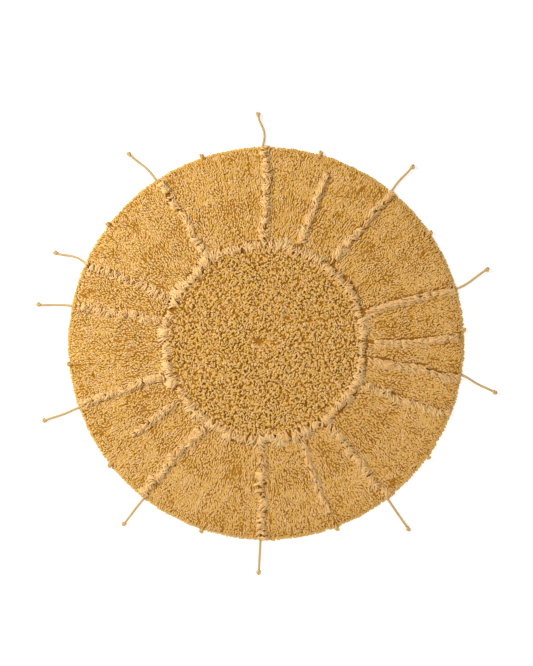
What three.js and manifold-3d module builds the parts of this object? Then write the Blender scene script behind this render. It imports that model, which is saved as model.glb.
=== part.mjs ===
// A round, washable cotton rug that lies flat on the floor. Gold cut pile makes its outer field and a deeper
// disc in the middle. Longer beige locks stand up as a ring round the disc and as sixteen rays out to the rim.
// Knotted cords are sewn in under the rim, and the long ones lie out on the floor.
// Millimetres, +Z up. The origin is the middle of the underside, on the floor. Angles run from +X towards +Y.
import * as THREE from "three";
import { mergeVertices } from "three/addons/utils/BufferGeometryUtils.js";
import Module from "manifold-3d";

const wasm = await Module();
wasm.setup();

// The rug and its gold pile
const RUG_RADIUS = 700; // to the tips of the outermost locks
const OVAL = 3; // the rug is this much longer than round at either end of X, and shorter at either end of Y
const FOOT_RADIUS = 690; // the edge of the cloth, on the floor
const RIM_LOCKS = 168;
const LOCK_DEPTH = 9; // from the tip of a lock at the rim back to the gap beside it
const LOCK_LUMP = 2.5; // how unevenly the locks of the rim lie
const BULGE_HEIGHT = 6.5; // where the rim is widest
const SHOULDER_RADIUS = 683;
const SHOULDER_HEIGHT = 13;
const FIELD_HEIGHT = 15; // pile between the ring and the rim
const DISC_HEIGHT = 19; // pile inside the ring
const FIELD_LUMP = 1.4; // how far the field rises and sinks
const DISC_LUMP = 2.4; // how far the coarser, curlier disc does
const FIELD_STEP = 38; // between the lumps of the field
const DISC_STEP = 28; // between the lumps of the disc
const OUT_OF_PLACE = 0.25; // how far a lump lies from its even place, as a share of the step
const CENTRE_DIP = 4; // the small hollow in the middle, where the rows of the disc begin

// The raised bands of beige locks
const RING_RADIUS = 346; // to the middle of the ring's band
const RING_OFFSET = [-5, 4]; // from the middle of the rug to the middle of the ring, as it is punched by eye
const RING_OVAL = 4; // how far the ring stands out at either end of X, and in at either end of Y
const RING_SWAY = 6; // how far its line wanders besides
const RING_WAVES = [5, 8, 13]; // of that wandering, all the way round
const RING_WIDTH = 48;
const RING_STATIONS = 72;
const BAND_HEIGHT = 26; // crest of the ring and of the rays
const BAND_SHOULDER = 18.5; // where their sides turn over
const BAND_FOOT = 10.4; // where the locks spring from the rug
const BAND_LUMP = 3; // how unevenly the locks lie, in height and in width
const CREST_SHARE = 0.32; // of a band's width, from either edge in to its crest
const CREST_DRIFT = 0.1; // share of the width by which the crest wanders
const STATION_STEP = 28; // between the lumps of a ray
const SWAY_LENGTHS = [290, 130]; // of the long and the short wave in a ray's wandering line
const RUN_OUT_RADIUS = 696; // where a ray ends that runs out at the rim
const GAP = 0.4; // between a band and the channel it stands in
const OVER_ALL = 60; // a height above everything
const UNDER_ALL = -1; // a height below the floor
const PAST_RIM = RUG_RADIUS + 30; // a radius outside the cloth

// Each ray: its direction at the ring and at its outer end, how far from the middle it reaches, how wide it is at
// either end, and how far its line sways to the sides. One that reaches the whole radius runs out at the rim.
const RAYS = [
  { atRing: 0, atEnd: 2, reach: 680, wide: 31, narrow: 27, sway: 3 },
  { atRing: 18, atEnd: 16, reach: 700, wide: 36, narrow: 26, sway: 3 },
  { atRing: 51, atEnd: 50, reach: 700, wide: 40, narrow: 22, sway: 4 },
  { atRing: 71, atEnd: 70, reach: 638, wide: 36, narrow: 20, sway: 3 },
  { atRing: 90, atEnd: 90, reach: 700, wide: 32, narrow: 30, sway: 6 },
  { atRing: 124, atEnd: 123, reach: 680, wide: 34, narrow: 28, sway: 9 },
  { atRing: 155, atEnd: 156, reach: 700, wide: 38, narrow: 33, sway: 8 },
  { atRing: 168, atEnd: 169, reach: 680, wide: 36, narrow: 32, sway: 5 },
  { atRing: 198, atEnd: 198, reach: 700, wide: 30, narrow: 27, sway: 6 },
  { atRing: 213, atEnd: 215, reach: 574, wide: 30, narrow: 24, sway: 3 },
  { atRing: 233, atEnd: 230, reach: 700, wide: 38, narrow: 32, sway: 9 },
  { atRing: 268, atEnd: 269, reach: 700, wide: 37, narrow: 34, sway: 7 },
  { atRing: 290, atEnd: 290, reach: 638, wide: 30, narrow: 20, sway: 4 },
  { atRing: 307, atEnd: 309, reach: 700, wide: 36, narrow: 30, sway: 8 },
  { atRing: 337, atEnd: 339, reach: 700, wide: 36, narrow: 30, sway: 6 },
  { atRing: 351, atEnd: 350, reach: 700, wide: 39, narrow: 33, sway: 9 },
];

// The knotted cords
const CORD_DIAMETER = 8;
const CORD_SIDES = 8;
const CORD_STEP = 18; // along a cord, between its rings of faces
const CORD_POINTS = 15; // of the line that a cord follows
const RISE_FROM = 0.62; // share of a cord's way after which it rises from the floor to the middle of its knot
const RISE_TO = 0.92; // share after which it is level again
const CORD_ROOT = 688; // radius at which a cord leaves the cloth
const ROOT_GAP = 0.7; // between the cloth and the end of a cord, which may start a little askew
const KNOT_RADIUS = 9.2;
const KNOT_LENGTH = 18;
const KNOT_LOBES = 3; // the turns of cord that show round a knot
const KNOT_LUMP = 0.6; // how far the turns stand out
const KNOT_SIDES = 9;
const KNOT_PROFILE = [
  { radius: 0.8, along: 0.14 }, // shares of the knot's radius and of its length
  { radius: 1, along: 0.4 },
  { radius: 0.95, along: 0.7 },
];
const KNOT_SEAT = 10.1; // height of a knot's middle, lying on the floor
const TAIL_LENGTH = 4; // of cord that sticks out of a knot
const TAIL_RADIUS = 3.6;
const NECK_LENGTH = 5; // of cord between the cloth and a short cord's knot
const SEAM_GAP = 0.4; // between a cord and what it meets
const NOTCH_SLACK = 1; // on each side of a cord or knot, where it comes out of the pile
const CORD_PLAY = 1.6; // how far to either side a cord may lie where it comes out
const CORD_NOTCH_WIDTH = CORD_DIAMETER + 2 * (NOTCH_SLACK + CORD_PLAY);
const KNOT_NOTCH_WIDTH = 2 * (KNOT_RADIUS + KNOT_LUMP + NOTCH_SLACK);

// Each long cord: the direction of its root, how far from the middle its knot lies, how far it drifts sideways
// on the way there, and how far its middle bows aside. Towards larger angles is positive.
const CORDS = [
  { root: 16, knotAt: 824, drift: 34, bow: -2 },
  { root: 50.6, knotAt: 812, drift: -3, bow: 3 },
  { root: 91, knotAt: 812, drift: 13, bow: -11 },
  { root: 124, knotAt: 828, drift: 26, bow: -4 },
  { root: 156, knotAt: 812, drift: 9, bow: -8 },
  { root: 169, knotAt: 817, drift: 17, bow: -1 },
  { root: 198.8, knotAt: 830, drift: 5, bow: 3 },
  { root: 231.7, knotAt: 812, drift: 1, bow: -1 },
  { root: 268.3, knotAt: 810, drift: -2, bow: 0 },
  { root: 308, knotAt: 827, drift: -7, bow: -1 },
  { root: 351, knotAt: 827, drift: -41, bow: -6 },
];
const SHORT_CORDS = [4, 34, 74, 109, 143, 186, 218, 251, 291, 325]; // their directions, in degrees

const goldPile = new THREE.MeshStandardMaterial({ color: 0xc8984f, roughness: 0.95, metalness: 0 });
const beigeLocks = new THREE.MeshStandardMaterial({ color: 0xdcb382, roughness: 0.95, metalness: 0 });
const beigeCord = new THREE.MeshStandardMaterial({ color: 0xe0bd90, roughness: 0.85, metalness: 0 });

// Numbers from -1 to 1 that come out the same each time
let seed = 20;
function uneven() {
  seed = (seed * 1664525 + 1013904223) % 4294967296;
  return seed / 2147483648 - 1;
}

const UP = new THREE.Vector3(0, 0, 1);
const radians = THREE.MathUtils.degToRad;
const mix = THREE.MathUtils.lerp;

// The point at a radius, an angle in radians and a height
function polar(radius, angle, z) {
  return new THREE.Vector3(radius * Math.cos(angle), radius * Math.sin(angle), z);
}

// A geometry from points and from triples of their indices
function geometryOf(points, triangles) {
  return new THREE.BufferGeometry().setFromPoints(points).setIndex(triangles);
}

// A solid for cutting and joining, from any closed geometry
function solidOf(geometry) {
  const bare = geometry.clone().deleteAttribute("normal").deleteAttribute("uv");
  const merged = mergeVertices(bare, 1e-3);
  return new wasm.Manifold(
    new wasm.Mesh({
      numProp: 3,
      vertProperties: merged.attributes.position.array,
      triVerts: new Uint32Array(merged.index.array),
    }),
  );
}

// The geometry of a solid that has been cut
function geometryFrom(solid) {
  const mesh = solid.getMesh();
  return new THREE.BufferGeometry()
    .setAttribute("position", new THREE.BufferAttribute(mesh.vertProperties, 3))
    .setIndex(new THREE.BufferAttribute(mesh.triVerts, 1));
}

// A closed skin over rows of points that run round the rug. The first and the last row are one point each, and
// neighbouring rows may differ in their number of points: each gap between two rows is zipped up by angle.
function zipRows(rows) {
  const firstOf = [];
  let count = 0;
  for (const row of rows) {
    firstOf.push(count);
    count += row.length;
  }
  const triangles = [];
  for (let k = 0; k + 1 < rows.length; k++) {
    const [n, m] = [rows[k].length, rows[k + 1].length];
    const below = (i) => firstOf[k] + (i % n);
    const above = (j) => firstOf[k + 1] + (j % m);
    let [i, j] = [0, 0];
    while (i < n || j < m) {
      const stepBelow = j >= m || (i < n && (i + 1) / n <= (j + 1) / m);
      if (stepBelow) {
        if (n > 1) triangles.push(below(i), below(i + 1), above(j));
        i++;
      } else {
        if (m > 1) triangles.push(below(i), above(j + 1), above(j));
        j++;
      }
    }
  }
  return geometryOf(rows.flat(), triangles);
}

// A closed skin over sections that follow each other along a line, each with the same number of points. A looped
// one comes back to its first section, and any other is closed at both ends.
function skinOver(sections, looped) {
  const size = sections[0].length;
  const triangles = [];
  const spans = looped ? sections.length : sections.length - 1;
  for (let s = 0; s < spans; s++) {
    const here = s * size;
    const next = ((s + 1) % sections.length) * size;
    for (let p = 0; p < size; p++) {
      const q = (p + 1) % size;
      triangles.push(here + p, next + p, next + q, here + p, next + q, here + q);
    }
  }
  if (!looped) {
    const end = (sections.length - 1) * size;
    for (let p = 1; p + 1 < size; p++) {
      triangles.push(0, p, p + 1, end, end + p + 1, end + p);
    }
  }
  return geometryOf(sections.flat(), triangles);
}

// A row of lumps in the pile, about a step apart all the way round
function pileRow(radius, step, height, lump) {
  const count = Math.round((2 * Math.PI * radius) / step);
  return Array.from({ length: count }, (_, i) => {
    const angle = (2 * Math.PI * (i + OUT_OF_PLACE * uneven())) / count;
    return polar(radius + OUT_OF_PLACE * step * uneven(), angle, height + lump * uneven());
  });
}

// The cloth with its gold pile: flat below, a rim of locks, and a lumpy field and disc on top
function pileSlab() {
  const foot = [];
  const bulge = [];
  const shoulder = [];
  for (let lock = 0; lock < RIM_LOCKS; lock++) {
    const angle = (2 * Math.PI * lock) / RIM_LOCKS;
    const gapAngle = angle + Math.PI / RIM_LOCKS;
    const oval = OVAL * Math.cos(2 * angle);
    const tip = RUG_RADIUS - LOCK_LUMP * (1 + uneven());
    const lift = (LOCK_LUMP / 2) * uneven();
    foot.push(polar(FOOT_RADIUS + oval, angle, 0));
    bulge.push(polar(tip + oval, angle, BULGE_HEIGHT + lift));
    bulge.push(polar(RUG_RADIUS - LOCK_DEPTH + oval, gapAngle, BULGE_HEIGHT));
    shoulder.push(polar(SHOULDER_RADIUS + oval + LOCK_LUMP * uneven(), angle, SHOULDER_HEIGHT + lift));
  }
  const rows = [[polar(0, 0, 0)], foot, bulge, shoulder];
  for (let radius = SHOULDER_RADIUS - FIELD_STEP; radius > RING_RADIUS; radius -= FIELD_STEP) {
    rows.push(pileRow(radius, FIELD_STEP, FIELD_HEIGHT, FIELD_LUMP));
  }
  const discRadius = RING_RADIUS - RING_WIDTH / 2;
  for (let radius = discRadius; radius > DISC_STEP / 2; radius -= DISC_STEP) {
    rows.push(pileRow(radius, DISC_STEP, DISC_HEIGHT, DISC_LUMP));
  }
  rows.push([polar(0, 0, DISC_HEIGHT - CENTRE_DIP)]);
  return zipRows(rows);
}

// The section of a raised band between its left and its right edge: upright sides and an uneven crest
function bandSection(left, right) {
  const at = (share, z) => new THREE.Vector3(mix(left.x, right.x, share), mix(left.y, right.y, share), z);
  const crest = (share) => at(share + CREST_DRIFT * uneven(), BAND_HEIGHT + BAND_LUMP * uneven());
  return [
    at(0, BAND_FOOT),
    at(1, BAND_FOOT),
    at(1, BAND_SHOULDER),
    crest(1 - CREST_SHARE),
    crest(CREST_SHARE),
    at(0, BAND_SHOULDER),
  ];
}

// The section of the channel that such a band stands in
function channelSection(left, right) {
  const aside = new THREE.Vector3().subVectors(right, left).setLength(GAP);
  const [outLeft, outRight] = [left.clone().sub(aside), right.clone().add(aside)];
  const floor = BAND_FOOT - GAP;
  return [
    outLeft.clone().setZ(floor),
    outRight.clone().setZ(floor),
    outRight.clone().setZ(OVER_ALL),
    outLeft.clone().setZ(OVER_ALL),
  ];
}

// The two edges of the ring at each of its stations
function ringEdges() {
  const middle = new THREE.Vector3(...RING_OFFSET, 0);
  const waves = RING_WAVES.map((count) => ({ count, phase: Math.PI * uneven() }));
  return Array.from({ length: RING_STATIONS }, (_, s) => {
    const angle = (2 * Math.PI * s) / RING_STATIONS;
    let radius = RING_RADIUS + RING_OVAL * Math.cos(2 * angle);
    for (const { count, phase } of waves) {
      radius += (RING_SWAY / waves.length) * Math.sin(count * angle + phase);
    }
    const outer = radius + RING_WIDTH / 2 + BAND_LUMP * uneven();
    const inner = radius - RING_WIDTH / 2 + BAND_LUMP * uneven();
    return [polar(inner, angle, 0).add(middle), polar(outer, angle, 0).add(middle)];
  });
}

// The two edges of a ray from one radius to another, following its swaying line
function rayEdges(ray, from, to) {
  const waves = SWAY_LENGTHS.map((length) => ({ length, phase: Math.PI * uneven() }));
  const along = (radius) => (radius - RING_RADIUS) / (ray.reach - RING_RADIUS);
  const middle = (radius) => {
    let sway = 0;
    for (const { length, phase } of waves) {
      sway += (ray.sway / waves.length) * Math.sin((2 * Math.PI * radius) / length + phase);
    }
    return polar(radius, radians(mix(ray.atRing, ray.atEnd, along(radius))) + sway / radius, 0);
  };
  const stations = Math.ceil((to - from) / STATION_STEP) + 1;
  return Array.from({ length: stations }, (_, s) => {
    const radius = mix(from, to, s / (stations - 1));
    const here = middle(radius);
    const ahead = middle(radius + 1).sub(here);
    const half = mix(ray.wide, ray.narrow, along(radius)) / 2 + (BAND_LUMP / 2) * uneven();
    const aside = new THREE.Vector3(-ahead.y, ahead.x, 0).setLength(half);
    return [here.clone().add(aside), here.clone().sub(aside)];
  });
}

// The first and last pair of edges, moved apart along the band by the gap
function lengthened(edges, atStart, atEnd) {
  const moved = edges.map((pair) => pair.map((point) => point.clone()));
  const last = moved.length - 1;
  for (const side of [0, 1]) {
    const back = edges[0][side].clone().sub(edges[1][side]).setLength(atStart);
    const on = edges[last][side].clone().sub(edges[last - 1][side]).setLength(atEnd);
    moved[0][side].add(back);
    moved[last][side].add(on);
  }
  return moved;
}

// What is cut out of the rim for a cord: a box that lies along a direction, from a radius outwards
function notch(direction, from, width, top) {
  const box = new THREE.BoxGeometry(PAST_RIM - from, width, top - UNDER_ALL);
  box.translate((PAST_RIM + from) / 2, 0, (top + UNDER_ALL) / 2);
  box.rotateZ(radians(direction));
  return solidOf(box);
}

// The line of a long cord: straight out of the pile, along the floor, and up into the middle of its knot. Its
// drift to the side starts at nothing at the root and is steepest past the middle.
function cordLine(cord) {
  const start = CORD_ROOT + ROOT_GAP;
  const end = cord.knotAt - KNOT_LENGTH / 2 - SEAM_GAP;
  const points = [];
  for (let k = 0; k < CORD_POINTS; k++) {
    const t = k / (CORD_POINTS - 1);
    const drift = cord.drift * t ** 2 * (2 - t);
    const bow = cord.bow * Math.sin(Math.PI * t) ** 2;
    const rise = THREE.MathUtils.smoothstep(t, RISE_FROM, RISE_TO);
    const point = new THREE.Vector3(mix(start, end, t), drift + bow, mix(CORD_DIAMETER / 2, KNOT_SEAT, rise));
    points.push(point.applyAxisAngle(UP, radians(cord.root)));
  }
  return new THREE.CatmullRomCurve3(points);
}

function cordGeometry(line) {
  const corners = Array.from({ length: CORD_SIDES }, (_, k) => {
    const angle = (2 * Math.PI * (k + 0.5)) / CORD_SIDES;
    return new THREE.Vector2(Math.cos(angle), Math.sin(angle)).multiplyScalar(CORD_DIAMETER / 2);
  });
  const steps = Math.ceil(line.getLength() / CORD_STEP);
  return new THREE.ExtrudeGeometry(new THREE.Shape(corners), { steps, extrudePath: line, bevelEnabled: false });
}

// A single knot drawn tight round its own cord, along +Y from the flat end of its neck of cord. A knot with no
// neck starts with a flat face of the cord's size, and one with no tail ends in such a face.
function knotGeometry(neck, tail) {
  const cordRadius = CORD_DIAMETER / 2;
  const outline = [new THREE.Vector2(0, 0), new THREE.Vector2(cordRadius, 0)];
  if (neck) outline.push(new THREE.Vector2(cordRadius, neck));
  for (const { radius, along } of KNOT_PROFILE) {
    outline.push(new THREE.Vector2(radius * KNOT_RADIUS, neck + along * KNOT_LENGTH));
  }
  outline.push(new THREE.Vector2(cordRadius, neck + KNOT_LENGTH));
  if (tail) outline.push(new THREE.Vector2(TAIL_RADIUS, neck + KNOT_LENGTH + tail));
  outline.push(new THREE.Vector2(0, neck + KNOT_LENGTH + tail));
  const knot = new THREE.LatheGeometry(outline, KNOT_SIDES);
  const place = knot.attributes.position;
  for (let i = 0; i < place.count; i++) {
    const [x, y, z] = [place.getX(i), place.getY(i), place.getZ(i)];
    const radius = Math.hypot(x, z);
    if (radius <= cordRadius) continue;
    const turn = (Math.PI * (y - neck)) / KNOT_LENGTH;
    const lump = KNOT_LUMP * Math.cos(KNOT_LOBES * Math.atan2(z, x) + turn);
    place.setX(i, (x * (radius + lump)) / radius);
    place.setZ(i, (z * (radius + lump)) / radius);
  }
  return knot;
}

// Lays a knot along the floor from a point, in the direction that its cord has there
function layKnot(knot, from, ahead) {
  knot.position.copy(from).addScaledVector(ahead, SEAM_GAP).setZ(KNOT_SEAT);
  knot.quaternion.setFromUnitVectors(new THREE.Vector3(0, 1, 0), ahead);
}

const rug = new THREE.Group();
function addPiece(name, geometry, material) {
  const piece = new THREE.Mesh(geometry, material);
  piece.name = name;
  rug.add(piece);
  return piece;
}
const numbered = (name, index) => `${name}_${String(index + 1).padStart(2, "0")}`;

// The ring and its channel
const edgesOfRing = ringEdges();
const ring = skinOver(edgesOfRing.map(([left, right]) => bandSection(left, right)), true);
const ringChannel = solidOf(skinOver(edgesOfRing.map(([left, right]) => channelSection(left, right)), true));
let body = solidOf(pileSlab()).subtract(ringChannel);
addPiece("ring_band", ring, beigeLocks);

// The rays start where the ring's channel ends
RAYS.forEach((ray, index) => {
  const runsOut = ray.reach >= RUG_RADIUS;
  const end = runsOut ? RUN_OUT_RADIUS : ray.reach;
  const edges = rayEdges(ray, RING_RADIUS, end);
  const locks = solidOf(skinOver(edges.map(([left, right]) => bandSection(left, right)), false));
  const channel = lengthened(edges, GAP, runsOut ? PAST_RIM - end : GAP);
  body = body.subtract(solidOf(skinOver(channel.map(([left, right]) => channelSection(left, right)), false)));
  addPiece(numbered("ray", index), geometryFrom(locks.subtract(ringChannel)), beigeLocks);
});

// The long cords, each out of its notch in the rim, and the knots that end them
CORDS.forEach((cord, index) => {
  body = body.subtract(notch(cord.root, CORD_ROOT, CORD_NOTCH_WIDTH, CORD_DIAMETER + NOTCH_SLACK));
  const line = cordLine(cord);
  addPiece(numbered("cord", index), cordGeometry(line), beigeCord);
  const knot = addPiece(numbered("knot", index), knotGeometry(0, TAIL_LENGTH), beigeCord);
  layKnot(knot, line.getPoint(1), line.getTangent(1).setZ(0).normalize());
});

// The short cords, whose knots sit in the rim's locks
SHORT_CORDS.forEach((direction, index) => {
  body = body.subtract(notch(direction, CORD_ROOT, CORD_NOTCH_WIDTH, OVER_ALL));
  body = body.subtract(notch(direction, CORD_ROOT + NECK_LENGTH, KNOT_NOTCH_WIDTH, OVER_ALL));
  const knot = addPiece(numbered("short_knot", index), knotGeometry(NECK_LENGTH, 0), beigeCord);
  layKnot(knot, polar(CORD_ROOT, radians(direction), 0), polar(1, radians(direction), 0));
});

addPiece("rug_body", geometryFrom(body), goldPile);

export default rug;
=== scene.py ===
import math

import bpy
import numpy as np
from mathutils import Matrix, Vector
from mathutils.bvhtree import BVHTree


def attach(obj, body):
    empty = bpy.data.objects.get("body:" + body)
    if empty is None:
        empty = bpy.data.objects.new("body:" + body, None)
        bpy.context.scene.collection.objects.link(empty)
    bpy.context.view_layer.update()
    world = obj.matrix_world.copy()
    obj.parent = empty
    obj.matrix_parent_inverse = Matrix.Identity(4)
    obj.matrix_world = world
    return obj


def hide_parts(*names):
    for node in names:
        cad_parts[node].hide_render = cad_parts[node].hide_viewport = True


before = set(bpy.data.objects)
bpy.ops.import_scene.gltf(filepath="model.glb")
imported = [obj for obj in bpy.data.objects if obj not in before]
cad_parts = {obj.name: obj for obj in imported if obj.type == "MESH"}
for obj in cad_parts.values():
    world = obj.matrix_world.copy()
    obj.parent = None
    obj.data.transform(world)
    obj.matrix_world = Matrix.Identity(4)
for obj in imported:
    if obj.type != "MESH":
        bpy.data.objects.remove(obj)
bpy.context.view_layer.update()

# The stage: a floor that is nearly white, a wide soft light from the upper left and a weak one from the
# lower right in a pale room, and a camera that looks straight down. The middle of the rug lies a little
# below the middle of the picture.
PICTURE_WIDTH = 533  # pixels
PICTURE_HEIGHT = 666
RUG_MIDDLE = (266.0, 343.5)  # where the middle of the rug lies in the picture, in pixels
PIXEL = 0.0035425  # what one pixel spans at the rim of the rug
RIM_HEIGHT = 0.0065  # of the widest part of the rug
CAMERA_HEIGHT = 5.0
FLOOR_REACH = 12.0
FLOOR_DROP = 0.0002  # of the floor below the rug's underside
LIGHTS = [  # where each hangs, how wide it is and its power in watts
    {"name": "main_light", "place": Vector((-3.0, 1.4, 2.6)), "size": 2.0, "power": 180.0},
    {"name": "side_light", "place": Vector((1.5, -3.1, 2.4)), "size": 2.4, "power": 42.0},
]
ROOM_LIGHT = 0.34  # how brightly the room lights the rug
ROOM_SEEN = 1.0  # how bright the room looks behind the rug
FLOOR_GLOW = 0.48  # how much the floor shines by itself, so that it comes out nearly white

floor_mesh = bpy.data.meshes.new("floor")
floor_corners = [
    (x * FLOOR_REACH, y * FLOOR_REACH, -FLOOR_DROP) for x, y in ((-1, -1), (1, -1), (1, 1), (-1, 1))
]
floor_mesh.from_pydata(floor_corners, [], [(0, 1, 2, 3)])
floor = bpy.data.objects.new("floor", floor_mesh)
bpy.context.scene.collection.objects.link(floor)
floor_material = bpy.data.materials.new("floor")
floor_material.use_nodes = True
floor_shader = floor_material.node_tree.nodes["Principled BSDF"]
floor_shader.inputs["Base Color"].default_value = (0.92, 0.92, 0.92, 1)
floor_shader.inputs["Emission Color"].default_value = (1, 1, 1, 1)
floor_shader.inputs["Emission Strength"].default_value = FLOOR_GLOW
floor_shader.inputs["Roughness"].default_value = 0.9
floor_shader.inputs["Specular IOR Level"].default_value = 0.1
floor_mesh.materials.append(floor_material)

for lamp in LIGHTS:
    light = bpy.data.objects.new(lamp["name"], bpy.data.lights.new(lamp["name"], "AREA"))
    light.data.shape = "DISK"
    light.data.size = lamp["size"]
    light.data.energy = lamp["power"]
    light.location = lamp["place"]
    light.rotation_euler = (-lamp["place"]).to_track_quat("-Z", "Y").to_euler()
    bpy.context.scene.collection.objects.link(light)

room = bpy.data.worlds.new("room")
room.use_nodes = True
room_nodes = room.node_tree.nodes
room_light = room_nodes["Background"]
room_light.inputs["Color"].default_value = (1, 1, 1, 1)
room_light.inputs["Strength"].default_value = ROOM_LIGHT
room_seen = room_nodes.new("ShaderNodeBackground")
room_seen.inputs["Strength"].default_value = ROOM_SEEN
room_choice = room_nodes.new("ShaderNodeMixShader")
room_ray = room_nodes.new("ShaderNodeLightPath")
room_links = room.node_tree.links
room_links.new(room_ray.outputs["Is Camera Ray"], room_choice.inputs[0])
room_links.new(room_light.outputs[0], room_choice.inputs[1])
room_links.new(room_seen.outputs[0], room_choice.inputs[2])
room_links.new(room_choice.outputs[0], room_nodes["World Output"].inputs["Surface"])
bpy.context.scene.world = room
bpy.context.scene.view_settings.view_transform = "Standard"

camera = bpy.data.objects.new("camera", bpy.data.cameras.new("camera"))
camera.location = (
    (PICTURE_WIDTH / 2 - RUG_MIDDLE[0]) * PIXEL,
    (RUG_MIDDLE[1] - PICTURE_HEIGHT / 2) * PIXEL,
    CAMERA_HEIGHT,
)
camera.data.lens = camera.data.sensor_width * (CAMERA_HEIGHT - RIM_HEIGHT) / (PICTURE_HEIGHT * PIXEL)
bpy.context.scene.collection.objects.link(camera)
bpy.context.scene.camera = camera

# The long cords: soft twisted cotton, eight millimetres thick, sewn in under the rim. Each runs out of
# the pile and along the floor, and ends in a tight single knot. Their line is the one that the packed
# model has.
CORD_DIAMETER = 0.008
CORD_FULLNESS = 1.2  # how much wider than that its loose fibres make it
CORD_ROOT = 0.688  # radius at which a cord leaves the cloth
ROOT_GAP = 0.0007  # between the cloth and the end of a cord
SEAM_GAP = 0.0004  # between a cord and its knot
KNOT_SEAT = 0.0101  # height of a knot's middle
KNOT_RADIUS = 0.0097
KNOT_LENGTH = 0.018  # along the cord
KNOT_TURN = 0.40  # radius of the cord in a knot's turns, as a share of the knot's
TURN_POINTS = 61  # along the turns of a knot
TURN_SIDES = 9
CORE_SIDES = 12  # round the cord in the middle of a knot
TAIL_LENGTH = 0.001  # of cord that sticks out of a knot
RISE_FROM = 0.62  # share of a cord's way after which it rises from the floor to its knot
RISE_TO = 0.92  # share after which it is level again
CORD_POINTS = 15  # of the line that a cord follows
CORD_RINGS = 60
CORD_SIDES = 15
CORD_STRANDS = 3
STRAND_OFFSET = 0.30  # of a strand's middle from the cord's, as a share of the cord's radius
TURN_LENGTH = 0.017  # of cord in which its strands turn once
CORDS = [  # root in degrees; place of the knot, drift and bow towards larger angles in metres
    {"root": 16.0, "knot_at": 0.824, "drift": 0.034, "bow": -0.002},
    {"root": 50.6, "knot_at": 0.812, "drift": -0.003, "bow": 0.003},
    {"root": 91.0, "knot_at": 0.812, "drift": 0.013, "bow": -0.011},
    {"root": 124.0, "knot_at": 0.828, "drift": 0.026, "bow": -0.004},
    {"root": 156.0, "knot_at": 0.812, "drift": 0.009, "bow": -0.008},
    {"root": 169.0, "knot_at": 0.817, "drift": 0.017, "bow": -0.001},
    {"root": 198.8, "knot_at": 0.830, "drift": 0.005, "bow": 0.003},
    {"root": 231.7, "knot_at": 0.812, "drift": 0.001, "bow": -0.001},
    {"root": 268.3, "knot_at": 0.810, "drift": -0.002, "bow": 0.000},
    {"root": 308.0, "knot_at": 0.827, "drift": -0.007, "bow": -0.001},
    {"root": 351.0, "knot_at": 0.827, "drift": -0.041, "bow": -0.006},
]
CORD_TONE = 0.5  # from the darkest yarn, 0, to the lightest, 1
KNOT_TONE = 0.6
YARN_TONES = 32  # steps from the darkest to the lightest yarn, each with its own strip of the map
STRIP_MARGIN = 0.08  # round the part of a strip that is used, as a share of its width and of its height
FIBRE_CHANGES = {"around": 7.0, "along": 6.0, "tone": 90.0}  # how fast the loose fibres change with each
PAINTED_SHADE_FADE = 0.75  # share of a yarn, from its root, over which its painted shade fades out
YARN_RELIEF = {"ply": 0.35, "fibre": 0.5}  # how strongly each shows in the relief of a yarn
RELIEF_DEPTH = 0.0004  # of that relief


# From 0 at the start to 1 at the end, level at both
def smooth_step(values, start, end):
    share = np.clip((values - start) / (end - start), 0, 1)
    return share * share * (3 - 2 * share)


# Unit vectors along the last axis
def unit(vectors):
    return vectors / np.linalg.norm(vectors, axis=-1, keepdims=True)


# A shown object from its points, the corners of its faces, how many corners each face has, and the
# place of each corner on the map that carries the colours
def make_piece(name, points, corners, sizes, places, material):
    mesh = bpy.data.meshes.new(name)
    mesh.vertices.add(len(points))
    mesh.vertices.foreach_set("co", np.asarray(points, np.float32).ravel())
    mesh.loops.add(len(corners))
    mesh.loops.foreach_set("vertex_index", np.asarray(corners, np.int32))
    mesh.polygons.add(len(sizes))
    mesh.polygons.foreach_set("loop_start", np.concatenate([[0], np.cumsum(sizes)[:-1]]).astype(np.int32))
    mesh.uv_layers.new(name="OFBake").uv.foreach_set("vector", np.asarray(places, np.float32).ravel())
    mesh.update(calc_edges=True)
    mesh.shade_smooth()
    mesh.materials.append(material)
    piece = bpy.data.objects.new(name, mesh)
    bpy.context.scene.collection.objects.link(piece)
    return piece


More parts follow.
